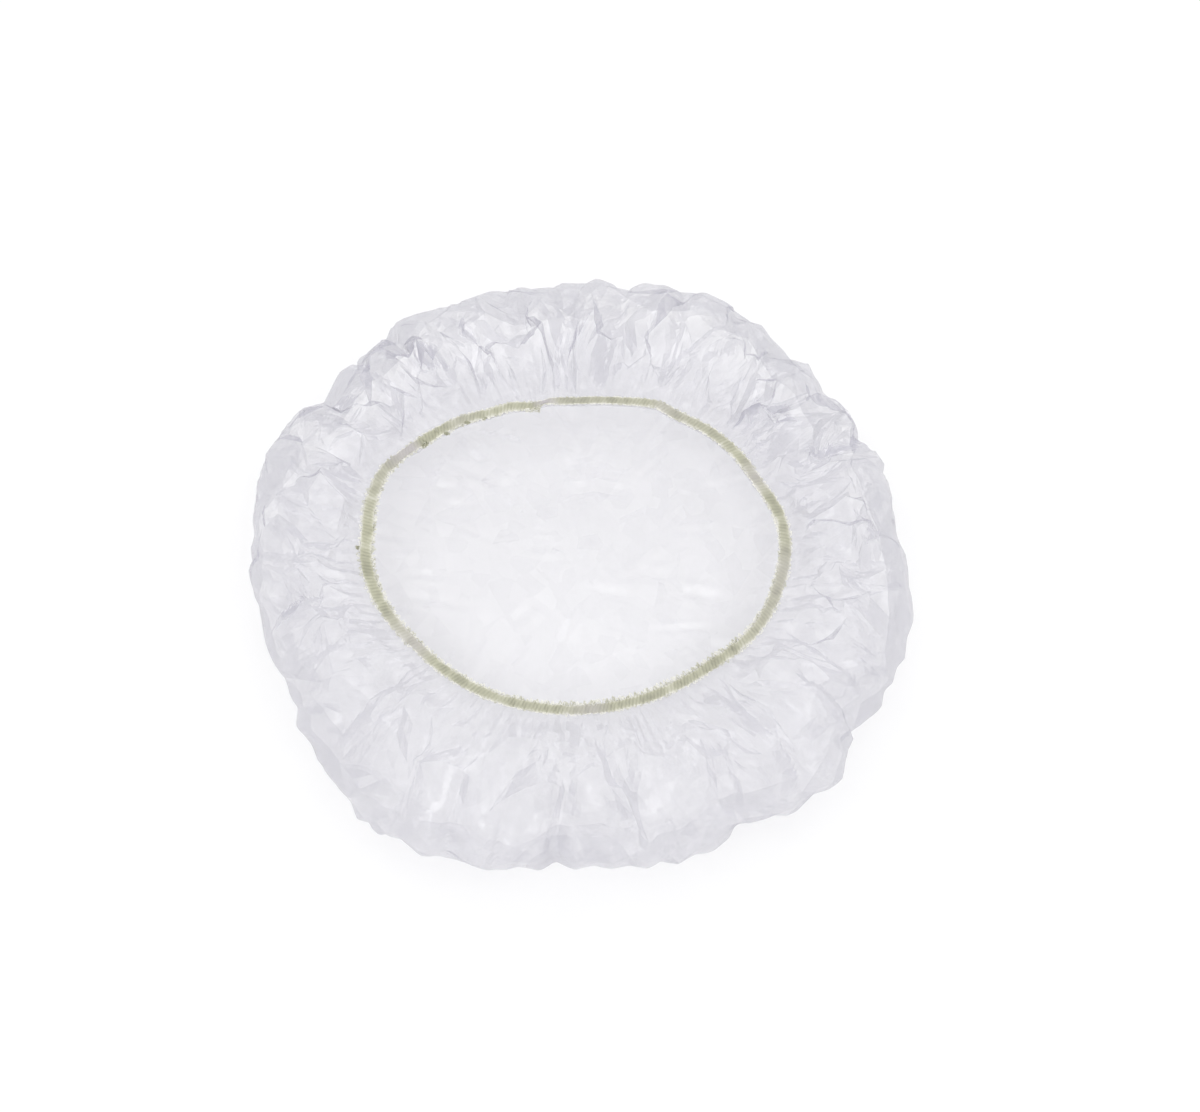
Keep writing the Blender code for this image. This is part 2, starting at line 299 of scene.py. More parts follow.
def rounded_zigzag(phase: Array, sharpness: float = 0.94) -> Array:
    """A wave between a sine and a zigzag, as film takes whose crests are nearly sharp."""
    return np.arcsin(sharpness * np.sin(phase)) / math.asin(sharpness)


def bulged(wave: Array, power: float) -> Array:
    """A wave whose size is raised to a power and whose sign is kept."""
    return np.sign(wave) * np.abs(wave) ** power


def even_angles(columns: int) -> Array:
    """Angles of evenly spaced columns."""
    return np.arange(columns) * 360.0 / columns


def staggered_angles(rows: int, columns: int) -> Array:
    """Angles of corners by row and column, where each row stands half a column further round."""
    return (np.arange(columns) + 0.5 * np.arange(rows)[:, None]) * 360.0 / columns


@dataclass(frozen=True)
class CapForm:
    """The form of the lying cap, taken from the frame's own boxes.

    The plan of the outline and of the band's loop are ellipses moved out by the shares of their
    tables and then fitted into the boxes of the film and of the band.
    """

    band_width: float = 0.0048
    band_thickness: float = 0.0013
    seat_margin: float = 0.0004
    hem_reach: float = 0.0002
    outline_reach: Range = (0.0008, 0.0024)
    outline_shift: Range = (0.0004, 0.0006)
    roof_rise: float = 0.0078
    piece_gap: float = 0.0003
    fold_depth: float = 0.0046
    fold_fade: float = 0.16
    fold_lip: float = 0.42
    lip_place: float = 1.6
    soft_valley: float = 0.45
    soft_power: float = 1.4
    sharp_valley: float = 0.55
    sharp_width: float = 0.5

    @property
    def seat(self) -> float:
        """Height of the film's top under the band, before the rim's own lifts."""
        lift = RIM["lift"].min() * self.roof_rise
        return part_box("elastic_band")[0][2] - self.piece_gap - lift

    def plan(self, node: str, rows: Table, angles: Array, inset: float | Array) -> Array:
        """Plan points of a ring that fills a node's box.

        Args:
            node: The frame's node.
            rows: Shares of the ellipse by angle.
            angles: Angles from +X.
            inset: How far inside the box the ring lies.

        Returns:
            One plan point for each angle.
        """
        low, high = (np.array(corner)[:2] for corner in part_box(node))
        half = (high - low) / 2
        turn = np.radians(angles)
        ellipse = np.hypot(np.cos(turn) / half[0], np.sin(turn) / half[1])
        radius = around(rows, "share", angles) / ellipse
        ring = np.stack([radius * np.cos(turn), radius * np.sin(turn)], axis=1)
        return fitted(ring, low + inset, high - inset)

    def loop(self, angles: Array) -> Array:
        """The band's loop, along the middle of its width.

        Args:
            angles: Angles from +X.

        Returns:
            Points in space, on the film's top under the band.
        """
        plan = self.plan("elastic_band", RIM, angles, self.band_width / 2)
        return np.column_stack([plan, self.seat + self.roof_rise * around(RIM, "lift", angles)])

    def wall(self, angles: Array, at: Array) -> Array:
        """The wall's smooth form: reach carries each point from the seat's edge to the outline.

        Args:
            angles: Angles of the columns.
            at: Rows of the section, with fractions.

        Returns:
            Points by ring and column.
        """
        loop = self.loop(angles)
        width = self.band_width / 2 * around(ELASTIC_WIDTH, "share", angles)
        half = width[:, None] + self.seat_margin
        out = outward(loop[:, :2])
        edge = loop[:, :2] + out * half
        outline = self.plan("film", LOBES, angles, -np.array(self.outline_reach))
        outline = outline + self.outline_shift
        reach, height, rise = (SECTION[name][:, None] for name in ("reach", "height", "rise"))
        under = np.minimum(reach, 0.0)[..., None] * out * (2 * half + self.hem_reach)
        plan = edge + under + np.maximum(reach, 0.0)[..., None] * (outline - edge)
        lift = (loop[:, 2] - self.seat) * height * (1.0 - np.maximum(reach, 0.0))
        heights = height * self.seat + rise * self.roof_rise + lift
        return through(np.concatenate([plan, heights[..., None]], axis=2), at)

    def folds(self, turn: Array, course: Array) -> Array:
        """Lift of the main creases.

        Each is a soft valley, which falls off as a power of e, and a sharp one with straight
        sides at its middle, between two rounded lips.  It eases in at its start and out at its
        stop.

        Args:
            turn: Angles.
            course: How far along the wall each point lies: 0 seat, 1 outline, more below.

        Returns:
            Lifts.
        """
        total = np.zeros(turn.shape)
        for inner, outer, depth, spread, start, stop in zip(*FOLDS.values()):
            middle = inner + (outer - inner) * np.clip(course, 0.0, 1.0)
            aside = np.abs((turn - middle + 180.0) % 360.0 - 180.0) / spread
            soft = self.soft_valley * np.exp(-(aside ** self.soft_power))
            sharp = self.sharp_valley * np.clip(1.0 - aside / self.sharp_width, 0.0, 1.0)
            lips = self.fold_lip * np.exp(-((aside - self.lip_place) ** 2))
            begins = smooth_step((course - start) / self.fold_fade)
            ends = smooth_step((stop - course) / self.fold_fade)
            total += depth * (lips - (soft + sharp)) * begins * ends
        return self.fold_depth * np.clip(total, -1.0, self.fold_lip)


def normals_of(grid: Array) -> Array:
    """Directions square to a closed band of rings, out of the cap.

    Args:
        grid: Points by ring and column.

    Returns:
        One unit direction for each point: the cross product of the ways down and round.
    """
    along = np.roll(grid, -1, axis=1) - np.roll(grid, 1, axis=1)
    return unit(np.cross(np.gradient(grid, axis=0), along))


@dataclass
class Ripples:
    """Chance waves, facets and creases over the flat disc and round it, all from one seed."""

    seed: int
    lattice: int = 64
    row_height: float = 0.866
    wave_sizes: Range = (0.4, 1.0)
    hill_pitches: Range = (0.7, 1.5)
    bent_facets: Range = (2.2, 1.9)
    bend: float = 0.9
    crease_lean: float = 0.5
    crease_lengths: Range = (0.006, 0.024)
    crease_widths: Range = (0.0018, 0.0045)
    crease_depths: Range = (0.35, 1.0)
    ridge_share: float = 0.7
    ridge_place: float = 1.4
    crease_taper: float = 1.6

    def __post_init__(self) -> None:
        """Start the draws."""
        self.draw = np.random.default_rng(self.seed)

    def wander(self, turn: Array, lowest: int, highest: int, size: float) -> Array:
        """A wavy line round the circle: sines of whole wave numbers and chance starts.

        Args:
            turn: Angles in radians.
            lowest: The fewest waves in the circle.
            highest: The most waves in the circle.
            size: Height of the sum, about.

        Returns:
            The line's value at each angle.
        """
        counts = np.arange(lowest, highest + 1, dtype=float)
        starts = self.draw.uniform(0, 2 * math.pi, len(counts))
        sizes = self.draw.uniform(*self.wave_sizes, len(counts))
        lines = sizes[:, None] * np.sin(counts[:, None] * turn + starts[:, None])
        return size * lines.sum(axis=0) / math.sqrt(len(counts) / 2)

    def swell(self, flat: Array, pitch: float, count: int = 12) -> Array:
        """Soft hills over the flat disc: plane sine waves that run in chance directions.

        Args:
            flat: Places on the flat disc, whose last axis holds x and y.
            pitch: Distance between hills, about.
            count: How many plane waves.

        Returns:
            Heights of about one at the most.
        """
        turns = self.draw.uniform(0, 2 * math.pi, count)
        pitches = pitch * self.draw.uniform(*self.hill_pitches, count)
        starts = self.draw.uniform(0, 2 * math.pi, count)
        total = np.zeros(flat.shape[:-1])
        for turn, wide, start in zip(turns, pitches, starts):
            total += np.sin(flat @ (headings(turn)[0] * 2 * math.pi / wide) + start)
        return total / math.sqrt(count)

    def facets(self, flat: Array, pitch: float) -> Array:
        """Flat triangles between straight creases: chance heights at the corners of a lattice of
        triangles, and even slopes between them.

        Args:
            flat: Places on the flat disc.
            pitch: Side of the triangles.

        Returns:
            Heights between -1 and 1.
        """
        heights = self.draw.uniform(-1, 1, (self.lattice, self.lattice))
        ahead, left_way = headings(self.draw.uniform(0, 2 * math.pi))
        along = (flat @ left_way) / (self.row_height * pitch)
        across = (flat @ ahead) / pitch - 0.5 * along
        left, low = np.floor(across).astype(int), np.floor(along).astype(int)
        aside, up = across - left, along - low
        beyond = aside + up > 1.0
        near = heights[(left + beyond) % self.lattice, (low + beyond) % self.lattice]
        right = heights[(left + 1) % self.lattice, low % self.lattice]
        above = heights[left % self.lattice, (low + 1) % self.lattice]
        shares = np.where(beyond, [aside + up - 1, 1 - up, 1 - aside], [1 - aside - up, aside, up])
        return shares[0] * near + shares[1] * right + shares[2] * above

    def crumple(self, flat: Array, pitch: float) -> Array:
        """Crumpled film: facets whose places are themselves shifted by larger facets, so that
        each crease runs straight across one of those and turns at its edges.

        Args:
            flat: Places on the flat disc.
            pitch: Side of the facets, about.

        Returns:
            Heights between -1 and 1.
        """
        shift = np.stack([self.facets(flat, share * pitch) for share in self.bent_facets], axis=-1)
        return self.facets(flat + self.bend * pitch * shift, pitch)

    def creases(self, flat: Array, count: int, ring: Range, steep: float) -> Array:
        """Short sharp creases strewn over a ring of the flat disc, most of them nearly radial:
        each a straight-sided groove beside a straight-sided ridge, tapering to its ends.

        Args:
            flat: Places on the flat disc.
            count: How many creases.
            ring: Inner and outer radius of the ring.
            steep: Slope of the steepest sides.

        Returns:
            Heights.
        """
        turn = self.draw.uniform(0, 2 * math.pi, count)
        radius = np.sqrt(self.draw.uniform(ring[0] ** 2, ring[1] ** 2, count))
        middle = radius[:, None] * np.column_stack([np.cos(turn), np.sin(turn)])
        turn = turn + self.draw.normal(0, self.crease_lean, count)
        half_length = self.draw.uniform(*self.crease_lengths, count)
        half_width = self.draw.uniform(*self.crease_widths, count)
        depth = half_width * steep * self.draw.uniform(*self.crease_depths, count)
        total = np.zeros(flat.shape[:-1])
        for place, way, length, width, size in zip(middle, turn, half_length, half_width, depth):
            ahead, left = headings(way)
            along = np.abs((flat - place) @ ahead) / length
            aside = ((flat - place) @ left) / width
            ridge = self.ridge_share * np.clip(1 - np.abs(aside - self.ridge_place), 0, 1)
            groove = np.clip(1 - np.abs(aside), 0, 1)
            total += size * (ridge - groove) * np.clip(self.crease_taper * (1 - along), 0, 1)
        return total


def joined(upper: Array, lower: Array) -> Array:
    """Triangles between two rings of vertex numbers, of which the lower has as many or half.

    Args:
        upper: Numbers of the outer ring.
        lower: Numbers of the inner ring.

    Returns:
        Corner numbers, three a row, facing out of the cap.
    """
    if len(upper) == len(lower):
        after, below = np.roll(upper, -1), np.roll(lower, -1)
        sides = [(upper, lower, after), (after, lower, below)]
    else:
        first, middle, last = upper[0::2], upper[1::2], np.roll(upper, -2)[0::2]
        below = np.roll(lower, -1)
        sides = [(first, lower, middle), (middle, lower, below), (middle, below, last)]
    return np.vstack([np.column_stack(side) for side in sides])


def make_piece(
    name: str, points: Array, faces: Array, finish: bpy.types.Material,
    smooth: bool = True,
) -> bpy.types.Object:
    """Make a mesh piece that rides on the cap's one body.

    Args:
        name: The piece's name.
        points: Its vertices, one a row.
        faces: Corner numbers, one face a row.
        finish: Its material.
        smooth: Whether its faces are shaded as one round surface.

    Returns:
        The new object, at the origin.
    """
    mesh = bpy.data.meshes.new(name)
    mesh.vertices.add(len(points))
    mesh.vertices.foreach_set("co", points.astype(np.float32).ravel())
    mesh.loops.add(faces.size)
    mesh.loops.foreach_set("vertex_index", faces.astype(np.int32).ravel())
    mesh.polygons.add(len(faces))
    mesh.polygons.foreach_set("loop_start", np.arange(len(faces), dtype=np.int32) * faces.shape[1])
    mesh.update(calc_edges=True)
    mesh.validate()
    if smooth:
        mesh.shade_smooth()
    else:
        mesh.shade_flat()
    mesh.materials.append(finish)
    piece = bpy.data.objects.new(name, mesh)
    bpy.context.scene.collection.objects.link(piece)
    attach(piece, "root")
    return piece


def set_uv(piece: bpy.types.Object, places: Array) -> None:
    """Give a piece a UV map from one place for each vertex.

    Args:
        piece: The piece.
        places: u and v of each vertex.
    """
    corners = np.zeros(len(piece.data.loops), dtype=np.int32)
    piece.data.loops.foreach_get("vertex_index", corners)
    layer = piece.data.uv_layers.new(name="flat")
    layer.data.foreach_set("uv", places[corners].astype(np.float32).ravel())


def set_share(piece: bpy.types.Object, name: str, values: Array) -> None:
    """Give a piece an attribute of one number for each vertex."""
    layer = piece.data.attributes.new(name, "FLOAT", "POINT")
    layer.data.foreach_set("value", values.astype(np.float32).ravel())


@dataclass(frozen=True)
class Term:
    """A socket of a shader tree that can be reckoned with: each operator adds a Math node."""

    tree: bpy.types.NodeTree
    socket: bpy.types.NodeSocket | None = None

    def node(
        self, kind: str, settings: dict | None = None, inputs: dict | None = None,
        outlet: int | str = 0,
    ) -> Term:
        """Add a node.

        Args:
            kind: The node's type.
            settings: Its properties, which are set first.
            inputs: Values, or terms to link, by the socket's name or number.
            outlet: The output that the new term wraps.

        Returns:
            A term for that output.
        """
        made = self.tree.nodes.new(kind)
        for name, value in (settings or {}).items():
            setattr(made, name, value)
        for name, value in (inputs or {}).items():
            if isinstance(value, Term):
                self.tree.links.new(value.socket, made.inputs[name])
            else:
                made.inputs[name].default_value = value
        return Term(self.tree, made.outputs[outlet])

    def attribute(self, name: str) -> Term:
        """Add a node that reads a number of the mesh by its name."""
        return self.node("ShaderNodeAttribute", {"attribute_name": name}, outlet="Fac")

    def math(self, operation: str, first: Term | float, second: Term | float = 0.0) -> Term:
        """Add a Math node."""
        return self.node("ShaderNodeMath", {"operation": operation}, {0: first, 1: second})

    def __add__(self, other: Term | float) -> Term:
        """This plus other."""
        return self.math("ADD", self, other)

    def __radd__(self, other: float) -> Term:
        """Other plus this."""
        return self.math("ADD", other, self)

    def __sub__(self, other: Term | float) -> Term:
        """This less other."""
        return self.math("SUBTRACT", self, other)

    def __rsub__(self, other: float) -> Term:
        """Other less this."""
        return self.math("SUBTRACT", other, self)

    def __mul__(self, other: Term | float) -> Term:
        """This times other."""
        return self.math("MULTIPLY", self, other)

    def __rmul__(self, other: float) -> Term:
        """Other times this."""
        return self.math("MULTIPLY", other, self)

    def __rtruediv__(self, other: float) -> Term:
        """Other divided by this."""
        return self.math("DIVIDE", other, self)

    def power(self, exponent: Term | float) -> Term:
        """This raised to a power."""
        return self.math("POWER", self, exponent)

    def clipped(self) -> Term:
        """This kept between 0 and 1."""
        return self.node("ShaderNodeClamp", {}, {0: self})

    def vector(
        self, operation: str, other: Term | Colour = (0.0, 0.0, 0.0), scale: float = 1.0
    ) -> Term:
        """Add a Vector Math node on this and another vector."""
        inputs = {0: self, 1: other, 3: scale}
        return self.node("ShaderNodeVectorMath", {"operation": operation}, inputs)

    def blended(self, low: Term | Colour, high: Colour) -> Term:
        """A colour from low, where this is 0, to high, where it is 1."""
        inputs = {0: self, 6: low if isinstance(low, Term) else (*low, 1.0), 7: (*high, 1.0)}
        return self.node("ShaderNodeMix", {"data_type": "RGBA"}, inputs, 2)

    def feed(self, shader: bpy.types.ShaderNode, name: str) -> None:
        """Link this to a shader's socket."""
        self.tree.links.new(self.socket, shader.inputs[name])


def new_material(name: str) -> tuple[bpy.types.Material, bpy.types.ShaderNodeBsdfPrincipled, Term]:
    """Make a material with a Principled shader.

    Args:
        name: The material's name.

    Returns:
        The material, its shader node, and a term to start expressions from.
    """
    material = bpy.data.materials.new(name)
    material.use_nodes = True
    return material, material.node_tree.nodes["Principled BSDF"], Term(material.node_tree)


@dataclass(frozen=True)
class FilmFinish:
    """Thin clear film, faintly milky and violet grey, crushed into small flat shards."""

    tint: Colour = (0.514, 0.505, 0.578)
    pale: Colour = (0.534, 0.525, 0.598)
    clearness: float = 0.848
    clearness_range: float = 0.03
    cloud_scale: float = 9.0
    cloud_detail: float = 3.0
    cloud_distortion: float = 0.8
    roughness: float = 0.26
    index: float = 2.8
    least_facing: float = 0.64
    thickening: float = 2.8
    forward: float = 0.80
    cell: float = 0.017
    shard: float = 0.009
    shard_shift: float = 3.0
    shard_tilt: float = 0.16
    flat_width: float = 0.46

    def cells(self, place: Term, size: float) -> Term:
        """Chance vectors, one for each cell of the flat disc, about nought.

        Args:
            place: Where the film lies on the flat disc.
            size: Size of the cells.

        Returns:
            The vectors.
        """
        mould = {"Vector": place, "Scale": self.flat_width / size}
        cells = place.node("ShaderNodeTexVoronoi", {}, mould, "Color")
        return cells.vector("SUBTRACT", (0.5, 0.5, 0.5))

    def shard_lean(self, place: Term) -> Term:
        """How each shard leans: chance vectors of small cells, whose places are moved by those
        of broad cells, so that the edges of both cut the film into shards.

        Args:
            place: Where the film lies on the flat disc.

        Returns:
            A vector to add to the normal.
        """
        move = self.shard_shift * self.shard / self.flat_width
        shift = self.cells(place, self.cell).vector("SCALE", scale=move)
        shards = self.cells(place.vector("ADD", shift), self.shard)
        return shards.vector("SCALE", scale=2.0 * self.shard_tilt)

    def material(self) -> bpy.types.Material:
        """Make the film's material: what shines through falls as a power of the way through it,
        which is longer where the film is seen edge on or lies in tucks.

        Returns:
            The material.
        """
        material, shader, start = new_material("film")
        shader.inputs["IOR"].default_value = self.index
        shader.inputs["Roughness"].default_value = self.roughness
        place = start.node("ShaderNodeUVMap", {"uv_map": "flat"})
        mould = {
            "Vector": place, "Scale": self.cloud_scale, "Detail": self.cloud_detail,
            "Distortion": self.cloud_distortion,
        }
        cloud = start.node("ShaderNodeTexNoise", {}, mould)
        normal = start.node("ShaderNodeNewGeometry", outlet="Normal")
        normal = normal.vector("ADD", self.shard_lean(place)).vector("NORMALIZE")
        mould = {"Blend": 0.5, "Normal": normal}
        facing = start.node("ShaderNodeLayerWeight", {}, mould, "Facing")
        way = 1.0 / start.math("MAXIMUM", 1.0 - facing, self.least_facing)
        thickness = way.power(self.thickening) * (1.0 + start.attribute("layers"))
        clear = (self.clearness + (cloud - 0.5) * self.clearness_range).power(thickness)
        shadow = start.node("ShaderNodeLightPath", outlet="Is Shadow Ray")
        alpha = (1.0 - clear) * (1.0 - shadow * self.forward)
        cloud.blended(self.tint, self.pale).feed(shader, "Base Color")
        alpha.clipped().feed(shader, "Alpha")
        normal.feed(shader, "Normal")
        return material


@dataclass(frozen=True)
class ElasticFinish:
    """Matt pale olive elastic: painted shade between its stitches, cream on loose thread, greyed in
    places.

    The piece's attribute tone runs from 0, the darkest painted shade, to 1, cream, and veil says
    how grey it is.
    """

    # dark is the painted shade that the grooves between the stitches take
    dark: Colour = (0.215, 0.215, 0.150)
    olive: Colour = (0.495, 0.495, 0.365)
    cream: Colour = (0.920, 0.910, 0.840)
    veiled: Colour = (0.520, 0.490, 0.510)
    roughness: float = 0.85
    blotch_scale: float = 260.0
    blotch_detail: float = 3.0
    blotch_strength: float = 0.5
    fibre_scale: float = 2600.0
    fibre_detail: float = 2.0
    fibre_strength: float = 0.2
    fibre_height: float = 0.00012
    bump_strength: float = 0.8

    def material(self) -> bpy.types.Material:
        """Make the elastic's material.

        Returns:
            The material.
        """
        material, shader, start = new_material("elastic")
        shader.inputs["Roughness"].default_value = self.roughness
        place = start.node("ShaderNodeTexCoord", outlet="Object")
        mould = {"Vector": place, "Scale": self.blotch_scale, "Detail": self.blotch_detail}
        blotch = start.node("ShaderNodeTexNoise", {}, mould)
        mould = {"Vector": place, "Scale": self.fibre_scale, "Detail": self.fibre_detail}
        fibre = start.node("ShaderNodeTexNoise", {}, mould)
        uneven = (blotch - 0.5) * self.blotch_strength
        tone = start.attribute("tone") + uneven + (fibre - 0.5) * self.fibre_strength
        # The low half of tone runs from the painted groove shade, dark, up to olive
        low = (tone * 2.0).clipped().blended(self.dark, self.olive)
        thread = (tone * 2.0 - 1.0).clipped().blended(low, self.cream)
        colour = start.attribute("veil").clipped().blended(thread, self.veiled)
        colour.feed(shader, "Base Color")
        mould = {"Height": fibre, "Distance": self.fibre_height, "Strength": self.bump_strength}
        start.node("ShaderNodeBump", {}, mould).feed(shader, "Normal")
        return material


@dataclass
class Wall:
    """The wall's smooth form, read at any angle and at any way along it from the hem."""

    form: CapForm
    columns: int = 720
    rows: int = 480
    trial_columns: int = 72
    trial_rows: int = 1600

    def __post_init__(self) -> None:
        """Work the form out once on a close grid of even steps."""
        dense = np.linspace(0, len(SECTION["reach"]) - 1, self.trial_rows)
        lengths = self.lengths(self.form.wall(even_angles(self.trial_columns), dense))
        self.length = lengths[-1]
        at = np.interp(np.linspace(0, self.length, self.rows), lengths, dense)
        self.stations = np.interp(np.arange(len(SECTION["reach"])), dense, lengths)
        self.points = self.form.wall(even_angles(self.columns), at)
        self.normals = normals_of(self.points)

    @staticmethod
    def lengths(grid: Array) -> Array:
        """Mean way of each ring from the first one, along the columns."""
        steps = np.linalg.norm(np.diff(grid, axis=0), axis=2).mean(axis=1)
        return np.concatenate([[0.0], np.cumsum(steps)])

    def read(self, grid: Array, turn: Array, way: Array) -> Array:
        """Read a field of the close grid, in even shares of the four nearest points.

        Args:
            grid: The field, such as the points or the normals.
            turn: Angles.
            way: Ways from the hem.

        Returns:
            The field's values.
        """
        row = np.clip(way / self.length * (self.rows - 1), 0, self.rows - 1.001)
        column = (turn % 360.0) / 360.0 * self.columns
        upper, left = np.floor(row).astype(int), np.floor(column).astype(int) % self.columns
        down, aside = (row - upper)[..., None], (column % 1.0)[..., None]
        right = (left + 1) % self.columns
        above = grid[upper, left] * (1 - aside) + grid[upper, right] * aside
        below = grid[upper + 1, left] * (1 - aside) + grid[upper + 1, right] * aside
        return above * (1 - down) + below * down

    def share(self, name: str, way: Array) -> Array:
        """Read a column of the section at any way from the hem."""
        return np.interp(way, self.stations, SECTION[name])

    def crush(self, turn: Array, way: Array) -> Array:
        """How crumpled the film is, by its angle and its way from the hem."""
        return around(CRUMPLE, "share", turn) * self.share("crush", way)

    def course(self, way: Array) -> Array:
        """How far along the wall a way from the hem is: 0 seat, 1 outline, more below."""
        reach = SECTION["reach"]
        below = np.arange(len(reach)) > np.argmax(reach)
        return np.interp(way, self.stations, np.where(below, 2.0 - reach, reach))

    @property
    def seat(self) -> float:
        """The way from the hem to the seat's edge."""
        return float(self.stations[np.flatnonzero(SECTION["reach"] >= 0.0)[0]])


class LaidFilm(NamedTuple):
    """Film on the wall, by row and column of its corners.

    Turn and way are the angle and the way from the hem over which each corner lies, and cut_turn
    and cut_way those at which it lies in the film itself.
    """

    points: Array
    turn: Array
    way: Array
    cut_turn: Array
    cut_way: Array


def halved(state: Array) -> Array:
    """Halve the facets of a ring of triangles: each new corner lies midway on an edge.

    Each row of corners stands half a facet further round than the row above it, so that the
    corner below lies between two above.

    Args:
        state: Values by row and column of corners.

    Returns:
        The values of twice the columns and nearly twice the rows.
    """
    after = np.roll(state, -1, axis=1)
    tall = np.empty((2 * len(state) - 1, 2 * state.shape[1], state.shape[2]))
    tall[0::2, 0::2], tall[0::2, 1::2] = state, (state + after) / 2
    tall[1::2, 0::2] = (state[:-1] + state[1:]) / 2
    tall[1::2, 1::2] = (after[:-1] + state[1:]) / 2
    return tall


@dataclass
class FilmSheet:
    """The cap's film: one disc, cut flat, whose rim is gathered under the band.

    The wall is a ring of large flat triangles with chance corners.  They are halved four times,
    and at each halving every corner moves a little in or out, so that large flat facets break
    into smaller ones along straight creases.
    """

    form: CapForm
    cut_radius: float = 0.230
    facet_columns: int = 48
    facet_rows: int = 6
    facet_heights: tuple[float, ...] = (0.0046, 0.0036, 0.0010, 0.00032, 0.0)
    facet_slides: tuple[float, ...] = (0.36, 0.68, 0.30, 0.20, 0.0)
    held_until: float = 0.22
    seat_rows: int = 6
    fine_gathers: int = 118
    broad_gathers: int = 46
    fine_depth: float = 0.0004
    broad_depth: float = 0.0003
    wander_columns: int = 1440
    gather_wander: tuple[tuple[float, ...], ...] = (
        (0.0, 3, 21, 2.2), (0.0, 2, 14, 2.0), (1.0, 5, 40, 0.45), (1.0, 4, 20, 0.40),
        (0.0, 3, 12, 2.2),
    )
    gathers_least: float = 0.25
    gathers_by_crumple: float = 0.65
    gathers_far: float = 0.2
    far_ends: float = 0.7
    far_fade: float = 0.4
    ruffle: float = 0.0011
    ruffle_most: float = 1.3
    ruffle_spread: float = 0.22
    wall_creases: int = 70
    wall_slope: float = 0.45
    lean: float = 0.5
    lean_pitch: float = 0.12
    loop_radius: float = 0.074
    slack: float = 1.02
    floor_ease: float = 0.0012
    least_height: float = 0.0001
    crown_ring: float = 0.0030
    crown_sides: int = 20
    crown_halving: float = 1.04
    crown_height: float = 0.0010
    crown_crumples: tuple[Range, ...] = ((0.0002, 0.026), (0.00016, 0.010))
    crown_creases: int = 140
    crown_slope: float = 0.16
    crown_middle: float = 0.01
    crown_edge: float = 0.12
    tuck_height: float = 0.030
    tuck_edge: float = 0.25
    seed: int = 11

    def gathers(self, wall: Wall, turn: Array, way: Array) -> Array:
        """Lift of the fine and broad gathers, whose spacing, size and skew wander round the rim.

        Both are rounded zigzags of the angle.  They are deepest by the band, and the broad ones
        come back as scallops near the outline, by a bell curve.  Each wander has a middle value,
        a lowest and a highest number of waves round the rim, and a size.

        Args:
            wall: The smooth form.
            turn: Angles.
            way: Ways from the hem.

        Returns:
            Lifts.
        """
        draws, angles = Ripples(self.seed + 1), even_angles(self.wander_columns)
        fine_shift, broad_shift, fine_size, broad_size, skew = (
            np.interp(turn, angles, middle + draws.wander(np.radians(angles), *ends), period=360.0)
            for middle, *ends in self.gather_wander
        )
        course, crumple = wall.course(way), around(CRUMPLE, "share", turn)
        skew = skew * course
        fine = rounded_zigzag(self.fine_gathers * np.radians(turn) + fine_shift + skew) * fine_size
        broad = rounded_zigzag(self.broad_gathers * np.radians(turn) + broad_shift + skew)
        near = wall.share("fine", way) * (self.gathers_least + self.gathers_by_crumple * crumple)
        far = self.gathers_far * wall.share("crush", way)
        far = far * smooth_step((self.far_ends - course) / self.far_fade)
        rim = self.ruffle * np.exp(-(((course - 1.0) / self.ruffle_spread) ** 2))
        rim = rim * (self.ruffle_most - crumple)
        wide = (self.broad_depth * (near + far) + rim) * (broad * broad_size)
        return self.fine_depth * near * fine + wide

    def above_floor(self, points: Array) -> Array:
        """Points whose heights near the floor ease off as a power of e, and never reach it."""
        low = points[..., 2] / self.floor_ease
        eased = np.where(low < 1.0, np.exp(np.minimum(low, 1.0) - 1.0), low) * self.floor_ease
        return np.concatenate([points[..., :2], eased[..., None]], axis=-1)

    @staticmethod
    def disc(turn: Array, radius: Array) -> Array:
        """Places of points at angles and radii, as x and y."""
        turn = np.radians(turn)
        return np.stack([radius * np.cos(turn), radius * np.sin(turn)], axis=-1)

    def crushed(self, wall: Wall, state: Array, level: int, draws: Draws) -> Array:
        """Move every corner of the facets by chance: along the wall by the level's slide, and in
        or out by its height, each as far as the wall is crumpled there.

        Args:
            wall: The smooth form.
            state: A row of seven numbers for each corner: its point, its turn past the staggered
                angle and its way from the hem, and the same two of the film itself.
            level: How often the facets have been halved.
            draws: The chance draws.

        Returns:
            The new state.
        """
        even = staggered_angles(*state.shape[:2])
        step = (wall.length - wall.seat) / (len(state) - 1)
        turn, way = even + state[..., 3], state[..., 4]
        inner = np.ones((len(state), 1))
        inner[[0, -1]] = 0.0
        crush = wall.crush(turn, way)
        lift = draws.uniform(-1, 1, turn.shape) * self.facet_heights[level] * crush
        free = inner * self.facet_slides[level] * (np.minimum(crush, 1.0) if level else 1.0)
        new_turn = turn + draws.uniform(-1, 1, turn.shape) * free * 360.0 / state.shape[1]
        new_way = way + draws.uniform(-1, 1, turn.shape) * free * step
        before = wall.read(wall.points, turn, way) if level else 0.0
        points = state[..., :3] + wall.read(wall.points, new_turn, new_way) - before
        points = points + wall.read(wall.normals, new_turn, new_way) * lift[..., None]
        slid = np.stack([new_turn - even, new_way], axis=2)
        return np.concatenate([points, slid, state[..., 5:] if level else slid], axis=2)

